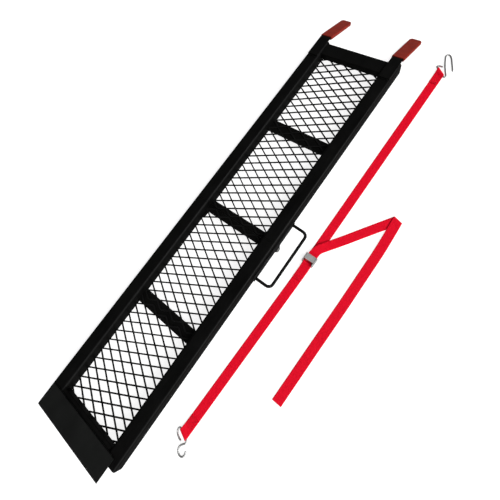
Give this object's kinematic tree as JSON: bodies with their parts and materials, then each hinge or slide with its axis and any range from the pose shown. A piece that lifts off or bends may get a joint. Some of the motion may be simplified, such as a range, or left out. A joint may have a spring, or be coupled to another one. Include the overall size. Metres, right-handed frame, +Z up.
{
  "type": "folding loading ramp",
  "caption": "Two-section folding steel loading ramp with expanded-metal treads, coated tailgate fingers, rod handle and a cam-buckle strap.",
  "frame": {"origin": "on the ground plane under the middle of the ramp's bounding box, the loose strap not counted", "axes": "+Z up, +Y along the ramp towards the tailgate fingers, +X across towards the handle"},
  "size_m": [0.5635, 1.6326, 0.0648],
  "materials": {
    "black_powder_coat": "satin powder coat",
    "black_tread": "satin powder coat",
    "red_vinyl": "satin dip coat",
    "black_plastic": "matte",
    "zinc_fastener": "zinc plated",
    "red_webbing": "woven polyester",
    "bright_zinc": "bright zinc plated"
  },
  "bodies": {
    "lower_frame": {"approach_plate": "black_powder_coat", "buckle_end_bar": "bright_zinc", "buckle_frame": "bright_zinc", "buckle_middle_bar": "bright_zinc", "cam_pin": "bright_zinc", "end_plug_lower_left": "black_plastic", "end_plug_lower_right": "black_plastic", "fold_lug_lower": "black_powder_coat", "foot_bar": "black_powder_coat", "handle": "black_powder_coat", "handle_plate": "black_powder_coat", "middle_rung_lower": "black_powder_coat", "pivot_bolt_left": "zinc_fastener", "pivot_bolt_right": "zinc_fastener", "pivot_nut_left": "zinc_fastener", "pivot_nut_right": "zinc_fastener", "pivot_washer_left": "zinc_fastener", "pivot_washer_right": "zinc_fastener", "rail_lower_left": "black_powder_coat", "rail_lower_right": "black_powder_coat", "rung_lower": "black_powder_coat", "tread_lower_inner": "black_tread", "tread_lower_outer": "black_tread", "web_long": "red_webbing", "web_short": "red_webbing"},
    "upper_frame": {"end_plug_upper_left": "black_plastic", "end_plug_upper_right": "black_plastic", "finger_coat_left": "red_vinyl", "finger_coat_right": "red_vinyl", "finger_left": "black_powder_coat", "finger_right": "black_powder_coat", "fold_cheek_upper": "black_powder_coat", "fold_lug_upper": "black_powder_coat", "head_bar": "black_powder_coat", "middle_rung_upper": "black_powder_coat", "rail_upper_left": "black_powder_coat", "rail_upper_right": "black_powder_coat", "rung_upper": "black_powder_coat", "tread_upper_inner": "black_tread", "tread_upper_outer": "black_tread"},
    "cam": {"cam_lever": "bright_zinc"},
    "foot_hook": {"hook_foot": "bright_zinc"},
    "head_hook": {"hook_head": "bright_zinc"}
  },
  "joints": [
    {"name": "fold", "type": "hinge", "parent": "lower_frame", "child": "upper_frame", "pos_m": [-0.025, -0.05685, 0.0085], "axis": [-1, 0, 0], "range_deg": [0, 180]},
    {"name": "cam_press", "type": "hinge", "parent": "lower_frame", "child": "cam", "pos_m": [0.22361, -0.02285, 0.017], "axis": [-0.9995, 0.0309, 0], "range_deg": [0, 70], "stiffness_Nm_per_rad": 0.05, "springref_deg": -17.19},
    {"name": "foot_hook_swing", "type": "hinge", "parent": "lower_frame", "child": "foot_hook", "pos_m": [0.2056, -0.60535, 0.0048], "axis": [-0.9351, 0.3545, 0], "range_deg": [0, 100]},
    {"name": "head_hook_swing", "type": "hinge", "parent": "lower_frame", "child": "head_hook", "pos_m": [0.2316, 0.72015, 0.0048], "axis": [0.7662, -0.6426, 0], "range_deg": [0, 100]}
  ]
}
